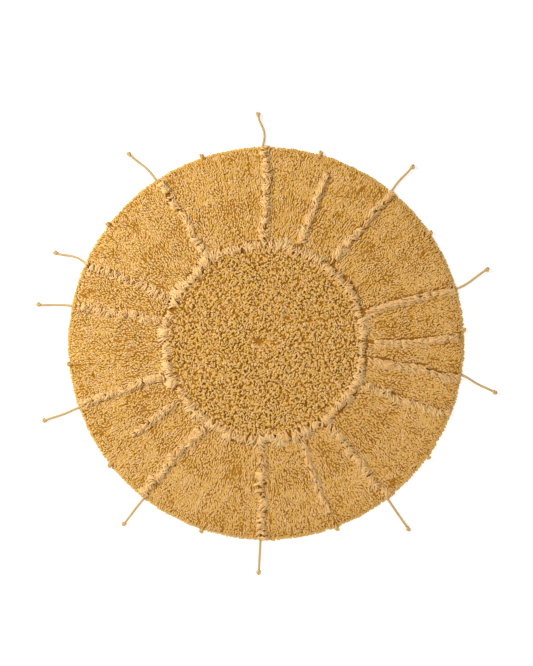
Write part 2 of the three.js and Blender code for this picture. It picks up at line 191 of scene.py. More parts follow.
# Closed tubes along paths of equal count: their points, face corners, face sizes and places on the map.
# The first and the last point of a path are the middles of its ends, and the others have a ring each.
# Each tone, from 0 to 1, picks the strip that a yarn's colour is in. The section is a share of the radius
# for each ring and side.
def tubes(paths, radii, tones, sides, section=1.0):
    count, rings = radii.shape
    ahead = unit(paths[:, 2:] - paths[:, :-2])
    least = np.argmin(np.abs(ahead[:, 0]), axis=1)
    side = unit(np.cross(ahead[:, 0], np.eye(3)[least]))
    across = np.empty_like(ahead)
    for ring in range(rings):
        onto = np.sum(side * ahead[:, ring], axis=1, keepdims=True)
        side = unit(side - onto * ahead[:, ring])
        across[:, ring] = side
    upright = np.cross(ahead, across)
    turn = 2 * np.pi * np.arange(sides) / sides
    reach = (radii[:, :, None] * section)[..., None]
    spokes = across[:, :, None] * np.cos(turn)[:, None] + upright[:, :, None] * np.sin(turn)[:, None]
    around = (paths[:, 1:-1, None] + reach * spokes).reshape(count, rings * sides, 3)
    points = np.concatenate([around, paths[:, :1], paths[:, -1:]], axis=1)

    near = np.arange(sides)
    far = (near + 1) % sides
    ring_first = np.arange(rings - 1)[:, None, None] * sides
    walls = np.stack([near, far, far + sides, near + sides], axis=1) + ring_first
    root_middle = np.full(sides, rings * sides)
    last_ring = (rings - 1) * sides
    root_end = np.stack([root_middle, far, near], axis=1)
    cut_end = np.stack([near + last_ring, far + last_ring, root_middle + 1], axis=1)
    first = np.arange(count)[:, None] * (rings * sides + 2)
    corners = [(first + face.ravel()).ravel() for face in (walls, root_end, cut_end)]
    sizes = np.concatenate([np.full(count * sides * (rings - 1), 4), np.full(2 * count * sides, 3)])

    strip = np.minimum((np.clip(tones, 0, 1) * YARN_TONES).astype(int), YARN_TONES - 1)
    inner = 1 - 2 * STRIP_MARGIN
    height = STRIP_MARGIN + inner * np.arange(rings + 2) / (rings + 1)
    low, high = height[1:-2], height[2:-1]
    wall_u = np.broadcast_to(np.stack([near, near + 1, near + 1, near], axis=1), walls.shape)
    wall_v = np.broadcast_to(np.stack([low, low, high, high], axis=1)[:, None], walls.shape)
    root_u = np.stack([near + 0.5, near + 1, near], axis=1)
    root_v = np.broadcast_to([height[0], height[1], height[1]], root_u.shape)
    cut_u = np.stack([near, near + 1, near + 0.5], axis=1)
    cut_v = np.broadcast_to([height[-2], height[-2], height[-1]], cut_u.shape)
    places = []
    for u, v in ((wall_u, wall_v), (root_u, root_v), (cut_u, cut_v)):
        strip_u = (strip[:, None] + STRIP_MARGIN + inner * u.ravel() / sides) / YARN_TONES
        places.append(np.stack(np.broadcast_arrays(strip_u, v.ravel()), axis=-1).reshape(-1, 2))
    return points.reshape(-1, 3), np.concatenate(corners), sizes, np.concatenate(places)


# Several lots of points and faces as one
def joined(*lots):
    firsts = np.cumsum([0] + [len(lot[0]) for lot in lots])
    corners = [lot[1] + first for lot, first in zip(lots, firsts)]
    return [np.concatenate(part) for part in (
        [lot[0] for lot in lots], corners, [lot[2] for lot in lots], [lot[3] for lot in lots]
    )]


# The path of one tube whose ends are cut off flat
def flat_ended(line):
    return np.concatenate([line[:1], line, line[-1:]])[None]


# The section of a cord of round strands that turn about each other, for each ring and side
def twisted(rings, sides, turns):
    turn = 2 * np.pi * (np.arange(sides) / sides - turns * np.arange(rings)[:, None] / (rings - 1))
    part = 2 * np.pi / CORD_STRANDS
    off = (turn + part / 2) % part - part / 2
    thick = 1 - STRAND_OFFSET
    return STRAND_OFFSET * np.cos(off) + np.sqrt(thick**2 - (STRAND_OFFSET * np.sin(off)) ** 2)


# A smooth line through points, with evenly spread rings
def smooth_line(points, rings):
    padded = np.concatenate([[2 * points[0] - points[1]], points, [2 * points[-1] - points[-2]]])
    place = np.linspace(0, len(points) - 1, rings)
    k = np.minimum(place.astype(int), len(points) - 2)
    t = (place - k)[:, None]
    a, b, c, d = padded[k], padded[k + 1], padded[k + 2], padded[k + 3]
    return 0.5 * (2 * b + (c - a) * t + (2 * a - 5 * b + 4 * c - d) * t**2 + (3 * b - a - 3 * c + d) * t**3)


# Points turned about the upright through the middle
def turned(points, degrees):
    angle = math.radians(degrees)
    x, y, z = points.T
    turned_x = x * np.cos(angle) - y * np.sin(angle)
    turned_y = x * np.sin(angle) + y * np.cos(angle)
    return np.stack([turned_x, turned_y, z], axis=1)


# The middle line of a cord, from the cloth to its knot
def cord_line(cord):
    start = CORD_ROOT + ROOT_GAP
    end = cord["knot_at"] - KNOT_LENGTH / 2 - SEAM_GAP
    share = np.linspace(0, 1, CORD_POINTS)
    out = start + (end - start) * share
    aside = cord["drift"] * share**2 * (2 - share) + cord["bow"] * np.sin(np.pi * share) ** 2
    low = CORD_FULLNESS * CORD_DIAMETER / 2
    height = low + (KNOT_SEAT - low) * smooth_step(share, RISE_FROM, RISE_TO)
    return smooth_line(turned(np.stack([out, aside, height], axis=1), cord["root"]), CORD_RINGS)


# The colours of spun yarn: its tone from the strip it lies in, plies that wind round it, loose fibres
# along it and painted shade at its root, where a deeper, more saturated colour stands in for the shade
# and the light bounced deep among the yarns. It also puts out the relief of plies and fibres.
def spun_yarn_group():
    group = bpy.data.node_groups.new("spun_yarn", "ShaderNodeTree")
    for name in ("Darkest", "Middle", "Lightest", "Second Ply", "Painted Shade Colour"):
        group.interface.new_socket(name, in_out="INPUT", socket_type="NodeSocketColor")
    for name in ("Plies", "Turns", "Ply Mix", "Painted Shade Strength", "Fibre Mix"):
        group.interface.new_socket(name, in_out="INPUT", socket_type="NodeSocketFloat")
    group.interface.new_socket("Colour", in_out="OUTPUT", socket_type="NodeSocketColor")
    group.interface.new_socket("Relief", in_out="OUTPUT", socket_type="NodeSocketFloat")
    nodes, links = group.nodes, group.links
    given = nodes.new("NodeGroupInput")
    made = nodes.new("NodeGroupOutput")

    def math_node(operation, *values):
        node = nodes.new("ShaderNodeMath")
        node.operation = operation
        for socket, value in zip(node.inputs, values):
            if isinstance(value, bpy.types.NodeSocket):
                links.new(value, socket)
            else:
                socket.default_value = value
        return node.outputs[0]

    def ranged(value, low, high, to_low, to_high):
        node = nodes.new("ShaderNodeMapRange")
        links.new(value, node.inputs["Value"])
        limits = {"From Min": low, "From Max": high, "To Min": to_low, "To Max": to_high}
        for name, number in limits.items():
            node.inputs[name].default_value = number
        return node.outputs[0]

    def mixed(share, first, second, blend="MIX"):
        node = nodes.new("ShaderNodeMix")
        node.data_type = "RGBA"
        node.blend_type = blend
        for socket, value in zip((node.inputs[0], node.inputs[6], node.inputs[7]), (share, first, second)):
            if isinstance(value, bpy.types.NodeSocket):
                links.new(value, socket)
            else:
                socket.default_value = value
        return node.outputs[2]

    place = nodes.new("ShaderNodeUVMap")
    place.uv_map = "OFBake"
    split = nodes.new("ShaderNodeSeparateXYZ")
    links.new(place.outputs[0], split.inputs[0])
    strips = math_node("MULTIPLY", split.outputs[0], YARN_TONES)
    around = math_node("FRACT", strips)
    tone = math_node("DIVIDE", math_node("FLOOR", strips), YARN_TONES - 1)
    along = split.outputs[1]

    wound = math_node("ADD", math_node("MULTIPLY", around, given.outputs["Plies"]),
                      math_node("MULTIPLY", along, given.outputs["Turns"]))
    wave = math_node("SINE", math_node("MULTIPLY", wound, 2 * math.pi))
    ply = ranged(wave, -0.6, 0.6, 0, 1)
    fibre_place = nodes.new("ShaderNodeCombineXYZ")
    links.new(math_node("MULTIPLY", wound, FIBRE_CHANGES["around"]), fibre_place.inputs[0])
    links.new(math_node("MULTIPLY", along, FIBRE_CHANGES["along"]), fibre_place.inputs[1])
    links.new(math_node("MULTIPLY", tone, FIBRE_CHANGES["tone"]), fibre_place.inputs[2])
    fibre = nodes.new("ShaderNodeTexNoise")
    fibre.inputs["Scale"].default_value = 1.0
    fibre.inputs["Detail"].default_value = 2.0
    links.new(fibre_place.outputs[0], fibre.inputs["Vector"])

    lower = mixed(ranged(tone, 0.0, 0.5, 0, 1), given.outputs["Darkest"], given.outputs["Middle"])
    toned = mixed(ranged(tone, 0.5, 1.0, 0, 1), lower, given.outputs["Lightest"])
    plied = mixed(math_node("MULTIPLY", ply, given.outputs["Ply Mix"]), toned, given.outputs["Second Ply"])
    # Painted shade: towards its root each yarn's colour is multiplied by a deeper, more saturated colour,
    # which stands in for the shade and bounced light deep in the pile.
    shade = ranged(along, 0.0, PAINTED_SHADE_FADE, 0, 1)
    depth = math_node("MULTIPLY", given.outputs["Painted Shade Strength"], math_node("SUBTRACT", 1.0, shade))
    painted_shaded = mixed(depth, plied, given.outputs["Painted Shade Colour"], "MULTIPLY")
    fibre_dark = ranged(fibre.outputs["Fac"], 0.35, 0.65, 0, 1)
    streak = math_node("SUBTRACT", 1.0, math_node("MULTIPLY", given.outputs["Fibre Mix"], fibre_dark))
    grey = nodes.new("ShaderNodeCombineColor")
    for socket in grey.inputs:
        links.new(streak, socket)
    links.new(mixed(1.0, painted_shaded, grey.outputs[0], "MULTIPLY"), made.inputs["Colour"])
    plies_out = math_node("MULTIPLY", wave, YARN_RELIEF["ply"])
    fibres_out = math_node("MULTIPLY", fibre.outputs["Fac"], YARN_RELIEF["fibre"])
    links.new(math_node("ADD", plies_out, fibres_out), made.inputs["Relief"])
    return group


spun_yarn = spun_yarn_group()


# A matt cotton material from the yarn's own colours and numbers
def yarn_material(name, colours, numbers):
    material = bpy.data.materials.new(name)
    material.use_nodes = True
    nodes, links = material.node_tree.nodes, material.node_tree.links
    yarn = nodes.new("ShaderNodeGroup")
    yarn.node_tree = spun_yarn
    for socket, colour in colours.items():
        yarn.inputs[socket].default_value = (*colour, 1)
    for socket, number in numbers.items():
        yarn.inputs[socket].default_value = number
    relief = nodes.new("ShaderNodeBump")
    relief.inputs["Strength"].default_value = 0.6
    relief.inputs["Distance"].default_value = RELIEF_DEPTH
    shader = nodes["Principled BSDF"]
    shader.inputs["Roughness"].default_value = 0.95
    shader.inputs["Specular IOR Level"].default_value = 0.15
    shader.inputs["Sheen Weight"].default_value = 0.05
    shader.inputs["Sheen Roughness"].default_value = 0.6
    links.new(yarn.outputs["Colour"], shader.inputs["Base Color"])
    links.new(yarn.outputs["Relief"], relief.inputs["Height"])
    links.new(relief.outputs["Normal"], shader.inputs["Normal"])
    return material


cord_cotton = yarn_material(
    "cord_cotton",
    {"Darkest": (0.72, 0.44, 0.13), "Middle": (0.67, 0.45, 0.20), "Lightest": (0.78, 0.55, 0.28),
     "Second Ply": (0.74, 0.50, 0.24), "Painted Shade Colour": (1.0, 1.0, 1.0)},
    {"Plies": 3, "Turns": 8, "Ply Mix": 0.3, "Painted Shade Strength": 0.0, "Fibre Mix": 0.14},
)


# A single knot pulled tight, about the origin: the closed loop of its turns, and the cord that comes
# into it along +X, fills its middle and sticks out as a short tail
def knot_parts(before, tail, tone):
    tube_radius = KNOT_TURN * KNOT_RADIUS
    swell = (KNOT_RADIUS - tube_radius) / 3
    turn = 2 * np.pi * np.linspace(0, 1, TURN_POINTS)
    loops = np.stack([
        swell * (np.sin(turn) + 2 * np.sin(2 * turn)),
        swell * (np.cos(turn) - 2 * np.cos(2 * turn)),
        -(KNOT_RADIUS - tube_radius) * np.sin(3 * turn),
    ], axis=1)
    turns = tubes(flat_ended(loops), np.full((1, len(loops)), tube_radius), np.array([tone]), TURN_SIDES)
    half = KNOT_LENGTH / 2
    stations = [  # places along the cord, and its radius there
        (-half - before, 0.5 * CORD_DIAMETER),
        (-half, 0.5 * CORD_DIAMETER),
        (-0.7 * half, 0.5 * KNOT_RADIUS),
        (0, 0.66 * KNOT_RADIUS),
        (0.6 * half, 0.5 * KNOT_RADIUS),
        (half, 0.42 * CORD_DIAMETER),
        (half + tail, 0.40 * CORD_DIAMETER),
    ]
    if tail == 0:
        stations = stations[:-2] + [(0.8 * half, 0.42 * CORD_DIAMETER)]
    core = np.zeros((len(stations), 3))
    core[:, 0] = [place for place, _ in stations]
    thick = np.array([[radius for _, radius in stations]])
    return joined(turns, tubes(flat_ended(core), thick, np.array([tone]), CORE_SIDES))


# A knot laid along a direction, with its middle at a point
def laid_knot(name, parts, middle, direction):
    points, corners, sizes, places = parts
    degrees = math.degrees(math.atan2(direction[1], direction[0]))
    return make_piece(name, turned(points, degrees) + middle, corners, sizes, places, cord_cotton)


tied_knot = knot_parts(SEAM_GAP, TAIL_LENGTH, KNOT_TONE)
for number, cord in enumerate(CORDS, start=1):
    line = cord_line(cord)
    length = float(np.linalg.norm(np.diff(line, axis=0), axis=1).sum())
    section = twisted(CORD_RINGS, CORD_SIDES, length / TURN_LENGTH)
    radii = np.full((1, CORD_RINGS), CORD_FULLNESS * CORD_DIAMETER / 2)
    cord_tube = tubes(flat_ended(line), radii, np.array([CORD_TONE]), CORD_SIDES, section)
    piece = make_piece(f"long_cord_{number:02d}", *cord_tube, cord_cotton)
    heading = line[-1] - line[-2]
    heading[2] = 0
    heading = unit(heading)
    middle = line[-1] + heading * (SEAM_GAP + KNOT_LENGTH / 2)
    middle[2] = KNOT_SEAT
    knot = laid_knot(f"long_knot_{number:02d}", tied_knot, middle, heading)
    for made, node in ((piece, "cord"), (knot, "knot")):
        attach(made, "root")
        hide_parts(f"{node}_{number:02d}")

# The short cords: the same twisted cotton, sewn in under the rim too but cut short, so that little shows
# but the single knot at its end, which sits in the fringe of the rim.
NECK_LENGTH = 0.005  # of cord between the cloth and the knot
SHORT_KNOT_TONE = 0.0
SHORT_CORDS = [4, 34, 74, 109, 143, 186, 218, 251, 291, 325]  # their directions, in degrees
short_knot = knot_parts(NECK_LENGTH, 0.0, SHORT_KNOT_TONE)
for number, degrees in enumerate(SHORT_CORDS, start=1):
    direction = np.array([math.cos(math.radians(degrees)), math.sin(math.radians(degrees)), 0])
    middle = direction * (CORD_ROOT + SEAM_GAP + NECK_LENGTH + KNOT_LENGTH / 2) + (0, 0, KNOT_SEAT)
    piece = laid_knot(f"short_cord_{number:02d}", short_knot, middle, direction)
    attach(piece, "root")
    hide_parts(f"short_knot_{number:02d}")

# The cloth of the rug: cotton canvas that lies flat, with the pile punched through it. Its upper side is
# packed with the roots of the yarns, which show between them as a ground painted dark brown: painted
# shade for the depth of the pile.
CLOTH_RADIUS = 0.690
OVAL = 0.003  # how much longer than round the rug is at either end of X, and shorter at either end of Y
GROUND_HEIGHT = 0.0116
DISC_GROUND_HEIGHT = 0.0136  # inside the ring
GROUND_STEP = [0.335, 0.365]  # radii between which one height becomes the other, under the ring
GROUND_LUMP = 0.0007  # how far it rises and sinks
GROUND_LUMP_SIZE = 0.02
ROOT_SPOTS = 210.0  # packed roots in a metre
EDGE_WIDTH = 0.022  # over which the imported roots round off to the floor
CLOTH_SPOKES = 240
CLOTH_ROWS = 50
EDGE_ROWS = 8
CANVAS_PITCH = 0.0022  # between the threads of the canvas
SWELL_WAVES = 14
SWELL_SUM = 3.6  # what their sum is divided by, so that it stays near 1


# The radius of the cloth at given angles
def edge_of_cloth(angles):
    return CLOTH_RADIUS + OVAL * np.cos(2 * angles)


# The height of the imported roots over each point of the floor
def ground_height(x, y):
    angles = np.arctan2(y, x)
    radii = np.hypot(x, y)
    share = np.clip((radii - edge_of_cloth(angles) + EDGE_WIDTH) / EDGE_WIDTH, 0, 1)
    flat = DISC_GROUND_HEIGHT + (GROUND_HEIGHT - DISC_GROUND_HEIGHT) * smooth_step(radii, *GROUND_STEP)
    return flat * np.sqrt(1 - share**2)


# Soft swells, from about -1 to 1, with hills about a given size apart
def swells(x, y, size, rng):
    waves = rng.normal(size=(SWELL_WAVES, 2)) * 2 * np.pi / size
    phases = rng.uniform(0, 2 * np.pi, SWELL_WAVES)
    slopes = np.multiply.outer(x, waves[:, 0]) + np.multiply.outer(y, waves[:, 1]) + phases
    return np.sin(slopes).sum(-1) / SWELL_SUM


cloth_rng = np.random.default_rng(5)
cloth_angles = 2 * np.pi * np.arange(CLOTH_SPOKES) / CLOTH_SPOKES
inner_edge = 1 - EDGE_WIDTH / CLOTH_RADIUS
row_shares = np.concatenate([
    np.linspace(0, inner_edge, CLOTH_ROWS)[1:],
    inner_edge + (1 - inner_edge) * np.sin(np.pi / 2 * np.arange(1, EDGE_ROWS + 1) / EDGE_ROWS),
])
spread = np.multiply.outer(row_shares, edge_of_cloth(cloth_angles))
cloth_x = (spread * np.cos(cloth_angles)).ravel()
cloth_y = (spread * np.sin(cloth_angles)).ravel()
cloth_top = ground_height(cloth_x, cloth_y)
lumps = GROUND_LUMP * swells(cloth_x, cloth_y, GROUND_LUMP_SIZE, cloth_rng)
cloth_top += np.where(cloth_top > 0.9 * GROUND_HEIGHT, lumps, 0)
rows = len(row_shares)
top_points = np.stack([cloth_x, cloth_y, cloth_top], axis=1)
cloth_points = np.concatenate([top_points, [(0, 0, DISC_GROUND_HEIGHT), (0, 0, 0)]])
top_middle = len(top_points)
under_middle = top_middle + 1
cloth_faces = []
for spoke in range(CLOTH_SPOKES):
    after = (spoke + 1) % CLOTH_SPOKES
    last_row = (rows - 1) * CLOTH_SPOKES
    cloth_faces.append((top_middle, spoke, after))
    cloth_faces.append((under_middle, last_row + after, last_row + spoke))
    for row in range(rows - 1):
        this_row, next_row = row * CLOTH_SPOKES, (row + 1) * CLOTH_SPOKES
        cloth_faces.append((this_row + spoke, next_row + spoke, next_row + after, this_row + after))
cloth_corners = np.concatenate([np.array(face) for face in cloth_faces])
cloth_sizes = np.array([len(face) for face in cloth_faces])
is_under = np.array([face[0] == under_middle for face in cloth_faces])

# On the map the upper side takes the left half, and the underside the right half
side_shift = np.where(np.repeat(is_under, cloth_sizes), 0.75, 0.25)
flat_places = cloth_points[cloth_corners, :2] / (2 * (CLOTH_RADIUS + OVAL))
cloth_places = np.stack([side_shift + 0.49 * flat_places[:, 0], 0.5 + 0.98 * flat_places[:, 1]], axis=1)


# Cut roots packed side by side: their gold painted far darker as shade deep in the pile, and each
# lighter in its middle and darker round its edge, painted shade too
def painted_shade_roots_material():
    material = bpy.data.materials.new("painted_shade_roots")
    material.use_nodes = True
    nodes, links = material.node_tree.nodes, material.node_tree.links
    place = nodes.new("ShaderNodeTexCoord")
    spots = nodes.new("ShaderNodeTexVoronoi")
    spots.inputs["Scale"].default_value = ROOT_SPOTS
    links.new(place.outputs["Object"], spots.inputs["Vector"])
    # Painted shade: dark browns for the roots deep in the pile, darker towards the edge of each root
    colours = nodes.new("ShaderNodeValToRGB")
    colours.color_ramp.elements[0].color = (0.46, 0.195, 0.018, 1)
    colours.color_ramp.elements[1].color = (0.31, 0.115, 0.008, 1)
    links.new(spots.outputs["Distance"], colours.inputs["Fac"])
    relief = nodes.new("ShaderNodeBump")
    relief.invert = True
    relief.inputs["Strength"].default_value = 0.7
    relief.inputs["Distance"].default_value = 0.002
    links.new(spots.outputs["Distance"], relief.inputs["Height"])
    shader = nodes["Principled BSDF"]
    shader.inputs["Roughness"].default_value = 0.95
    shader.inputs["Specular IOR Level"].default_value = 0.1
    links.new(colours.outputs["Color"], shader.inputs["Base Color"])
    links.new(relief.outputs["Normal"], shader.inputs["Normal"])
    return material


# Plain woven canvas, with the threads of both directions standing out
def canvas_material():
    material = bpy.data.materials.new("canvas")
    material.use_nodes = True
    nodes, links = material.node_tree.nodes, material.node_tree.links
    place = nodes.new("ShaderNodeTexCoord")
    threads = []
    for direction in ("X", "Y"):
        wave = nodes.new("ShaderNodeTexWave")
        wave.bands_direction = direction
        wave.inputs["Scale"].default_value = math.pi / (10 * CANVAS_PITCH)
        links.new(place.outputs["Object"], wave.inputs["Vector"])
        threads.append(wave.outputs["Fac"])
    higher = nodes.new("ShaderNodeMath")
    higher.operation = "MAXIMUM"
    links.new(threads[0], higher.inputs[0])
    links.new(threads[1], higher.inputs[1])
    colours = nodes.new("ShaderNodeValToRGB")
    colours.color_ramp.elements[0].color = (0.34, 0.26, 0.17, 1)
    colours.color_ramp.elements[1].color = (0.66, 0.56, 0.42, 1)
    links.new(higher.outputs[0], colours.inputs["Fac"])
    relief = nodes.new("ShaderNodeBump")
    relief.inputs["Strength"].default_value = 0.6
    relief.inputs["Distance"].default_value = 0.0008
    links.new(higher.outputs[0], relief.inputs["Height"])
    shader = nodes["Principled BSDF"]
    shader.inputs["Roughness"].default_value = 0.9
    shader.inputs["Specular IOR Level"].default_value = 0.15
    links.new(colours.outputs["Color"], shader.inputs["Base Color"])
    links.new(relief.outputs["Normal"], shader.inputs["Normal"])
    return material


cloth = make_piece("cloth", cloth_points, cloth_corners, cloth_sizes, cloth_places, painted_shade_roots_material())
cloth.data.materials.append(canvas_material())
cloth.data.polygons.foreach_set("material_index", is_under.astype(np.int32))
cloth.data.polygons.foreach_set("use_smooth", ~is_under)
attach(cloth, "root")
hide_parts("rug_body")

# The ring of beige locks: long soft yarns, punched in beside each other along the inner edge of the
# ring, that stand proud of the gold pile and all fall over outwards. They stick together in bunches
# whose ends draw together.
LOCK_RADIUS = 0.0021
LOCK_SIDES = 4
LOCK_UNEVEN = 0.12  # how unevenly thick the locks are
LOCK_WAYS = [0.0, 0.10, 0.52, 1.0]  # where the root and the rings of a lock lie, as shares of its length
LOCK_RISES = [0.0, 0.88, 1.0, 0.84]  # and of the height between its root and the top of the pile
LOCK_SWELLS = [1.05, 1.1, 0.9]  # how thick its rings are
LOCK_TIP = 0.8  # how far its end stands out beyond the last ring, as a share of its radius
LOCK_ROOT = 0.0095  # height of the roots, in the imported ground
LOCK_BED = 0.0155  # height of the gold pile that the locks fall over
BED_MARGIN = 0.004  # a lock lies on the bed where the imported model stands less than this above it
RING_LOCKS = 3500
RING_ROOTS = 0.55  # the share of the ring's width, from its inner edge, where the roots stand
RING_BUNCH = 0.014  # mean width of a bunch
BUNCH_NOTCH = 0.0017  # how much lower the sides of a bunch lie than its middle
BUNCH_DRAW = 0.22  # how far the ends of a bunch draw together, as a share of its width
SHORTEST_LOCK = 0.014
RING_WANDER = 0.0035  # how far the line in which the locks end wanders
RING_WANDER_SIZE = 0.07
BUNCH_UNEVEN = {"heading": 0.14, "curl": 0.4, "lift": 0.0009}  # between bunches, in radians and metres
LOCK_LOOSE = {"heading": 0.25, "curl": 0.8, "lift": 0.0016}  # and between the locks of one bunch
NO_BED = 0.0  # for the pile itself, which has no bed to fall over
LOW_PILE = 0.0065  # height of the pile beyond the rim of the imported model
FLOOR_CLEARANCE = 0.0004  # between the floor and the lowest yarns

# Beige yarn, painted with shade that deepens its colour towards each root
beige_yarn = yarn_material(
    "beige_yarn",
    {"Darkest": (0.87, 0.51, 0.16), "Middle": (0.92, 0.61, 0.245), "Lightest": (0.94, 0.71, 0.36),
     "Second Ply": (0.94, 0.69, 0.34), "Painted Shade Colour": (0.88, 0.62, 0.36)},
    {"Plies": 2, "Turns": 2.5, "Ply Mix": 0.5, "Painted Shade Strength": 0.7, "Fibre Mix": 0.08},
)


# The upper side of the whole pile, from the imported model
def pile_surface():
    points, faces = [], []
    for name in ["rug_body", "ring_band"] + [f"ray_{number:02d}" for number in range(1, 17)]:
        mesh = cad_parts[name].data
        faces += [[corner + len(points) for corner in face.vertices] for face in mesh.polygons]
        points += [v.co for v in mesh.vertices]
    return BVHTree.FromPolygons(points, faces)


surface = pile_surface()


# The height of the pile over points of the floor, or another height where there is none
def pile_height(x, y, otherwise):
    down = Vector((0, 0, -1))
    heights = np.full(len(x), otherwise)
    for i, place in enumerate(zip(x, y)):
        hit = surface.ray_cast(Vector((*place, 1)), down)[0]
        if hit is not None:
            heights[i] = hit.z
    return heights


# Yarns that stand up at their roots and lie over along their headings, under the top of the pile or,
# where they are longer than the pile beside them, sunk a little into its bed. The last three lists give
# the root and each ring of a yarn its way along, its rise to the top of the pile and, but for the root,
# its swell.
def laid_yarns(roots, headings, lengths, curls, thickness, lifts, ceiling, bed, ways, rises, swell):
    count, stations = len(roots), len(ways)
    paths = np.empty((count, stations + 1, 3))
    paths[:, 0] = roots
    for k in range(1, stations):
        heading = headings + curls * (ways[k] + ways[k - 1]) / 2
        step = lengths * (ways[k] - ways[k - 1])
        paths[:, k, 0] = paths[:, k - 1, 0] + step * np.cos(heading)
        paths[:, k, 1] = paths[:, k - 1, 1] + step * np.sin(heading)
        surface_height = pile_height(paths[:, k, 0], paths[:, k, 1], LOW_PILE)
        room = np.minimum(surface_height, ceiling) - thickness + lifts - roots[:, 2]
        under = roots[:, 2] + rises[k] * room
        over = np.minimum(surface_height, bed) + 0.4 * thickness + 0.3 * lifts
        paths[:, k, 2] = np.where(surface_height < bed + BED_MARGIN, np.maximum(under, over), under)
    radii = thickness[:, None] * np.array(swell)
    paths[:, 1:-1, 2] = np.maximum(paths[:, 1:-1, 2], radii + FLOOR_CLEARANCE)
    ahead = unit(paths[:, -2] - paths[:, -3])
    paths[:, -1] = paths[:, -2] + LOCK_TIP * thickness[:, None] * ahead
    paths[:, -1, 2] = np.maximum(paths[:, -1, 2], FLOOR_CLEARANCE + 0.5 * thickness)
    return paths, radii


# The corners of a node's foot, each once
def foot_corners(node):
    points = np.array([v.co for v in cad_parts[node].data.vertices])
    lowest = points[:, 2].min()
    return np.unique(np.round(points[points[:, 2] < lowest + 0.0005, :2], 6), axis=0)


# The inner and the outer edge of the ring, as angles and radii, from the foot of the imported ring
ring_foot = foot_corners("ring_band")
ring_radii = np.hypot(*ring_foot.T)
ring_angles = np.arctan2(ring_foot[:, 1], ring_foot[:, 0])
ring_middle = ring_radii.mean()
ring_edges = []
for chosen in (ring_radii < ring_middle, ring_radii > ring_middle):
    order = np.argsort(ring_angles[chosen])
    ring_edges.append((ring_angles[chosen][order], ring_radii[chosen][order]))


# The radius of the ring's inner edge, 0, or outer edge, 1, at given angles
def ring_edge(which, angles):
    return np.interp(angles, *ring_edges[which], period=2 * np.pi)


# The bunch that each place along a line belongs to, where it lies in it, from -1 to 1 across the bunch,
# and half the bunch's width
def bunches(places, width, rng):
    edges = np.cumsum(width * rng.uniform(0.25, 1.75, int(1.6 * places.max() / width) + 12))
    which = np.searchsorted(edges, places) + 1
    edges = np.concatenate([[0, 0], edges])
    half = np.maximum((edges[which] - edges[which - 1]) / 2, 0.001)
    return which, (places - edges[which]) / half + 1, half


# The paths, radii and tones of the ring's locks
def ring_locks(rng):
    count = RING_LOCKS
    arc = rng.uniform(0, 2 * np.pi, count) * ring_middle
    angles = arc / ring_middle
    which, across, half = bunches(arc, RING_BUNCH, rng)
    each = rng.normal(size=(which.max() + 1, 4))[which]
    inner, outer = ring_edge(0, angles), ring_edge(1, angles)
    width = outer - inner
    wander = RING_WANDER * swells(arc, 0 * arc, RING_WANDER_SIZE, rng)
    root_share = RING_ROOTS * rng.uniform(0, 1, count) ** 1.3 + 0.02 * each[:, 0]
    end_share = -0.15 + 0.15 * each[:, 1] + 0.06 * rng.normal(size=count)
    start = inner + width * root_share + 0.2 * wander
    end = outer + width * end_share + wander
    lengths = np.maximum(end - start, SHORTEST_LOCK)
    drawn = BUNCH_DRAW * across * half / lengths
    headings = angles + BUNCH_UNEVEN["heading"] * each[:, 2] - drawn
    headings += LOCK_LOOSE["heading"] * rng.normal(size=count)
    curls = BUNCH_UNEVEN["curl"] * each[:, 3] + LOCK_LOOSE["curl"] * rng.normal(size=count)
    lifts = BUNCH_UNEVEN["lift"] * each[:, 0] + LOCK_LOOSE["lift"] * rng.normal(size=count)
    lifts -= BUNCH_NOTCH * across**2
    roots = np.stack([start * np.cos(angles), start * np.sin(angles), np.full(count, LOCK_ROOT)], axis=1)
    thickness = LOCK_RADIUS * (1 + LOCK_UNEVEN * rng.normal(size=count))
    paths, radii = laid_yarns(roots, headings, lengths, curls, thickness, lifts, np.inf, LOCK_BED,
                              LOCK_WAYS, LOCK_RISES, LOCK_SWELLS)
    return paths, radii, 0.5 + 0.08 * each[:, 1] + 0.2 * rng.normal(size=count)


ring = make_piece("ring_locks", *tubes(*ring_locks(np.random.default_rng(21)), LOCK_SIDES), beige_yarn)
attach(ring, "root")
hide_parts("ring_band")

# The rays: the same locks, punched in along a line from the ring towards the rim. They fall away from
# the line in bunches, in some rays nearly along it and in others to alternate sides or in curls.
RAY_LOCK_STEP = 0.0007  # between the locks of a ray, along its line
RAY_BUNCH = 0.0125  # mean length of ray that a bunch takes
RAY_CLEAR = 0.012  # stations of a ray's solid that are nearer than this to the ring are left out
RAY_START = 0.014  # from the middle of the ring's band to the first locks
RAY_END = 0.006  # from the last locks' roots to the end of the ray
RAY_RIM_REACH = 0.700  # where the locks of a ray that runs out at the rim end
RUNS_OUT_FROM = 0.690  # a ray whose solid reaches further runs out at the rim
RAY_SHORTEST = 0.013  # length of the shortest locks
RAY_LONGEST = 0.024
RAY_LONGEST_SPREAD = 0.003
LEAST_ROOM = 0.004  # that a lock has at the end of a ray
RAY_OVERHANG = 0.003  # by which it may lie out beyond that end
RAY_LIFTS = {"bunch": 0.0011, "lock": 0.0014}  # how unevenly high they lie
LEANS = [0.12, 1.4]  # least and largest angle between a lock and its ray, in radians
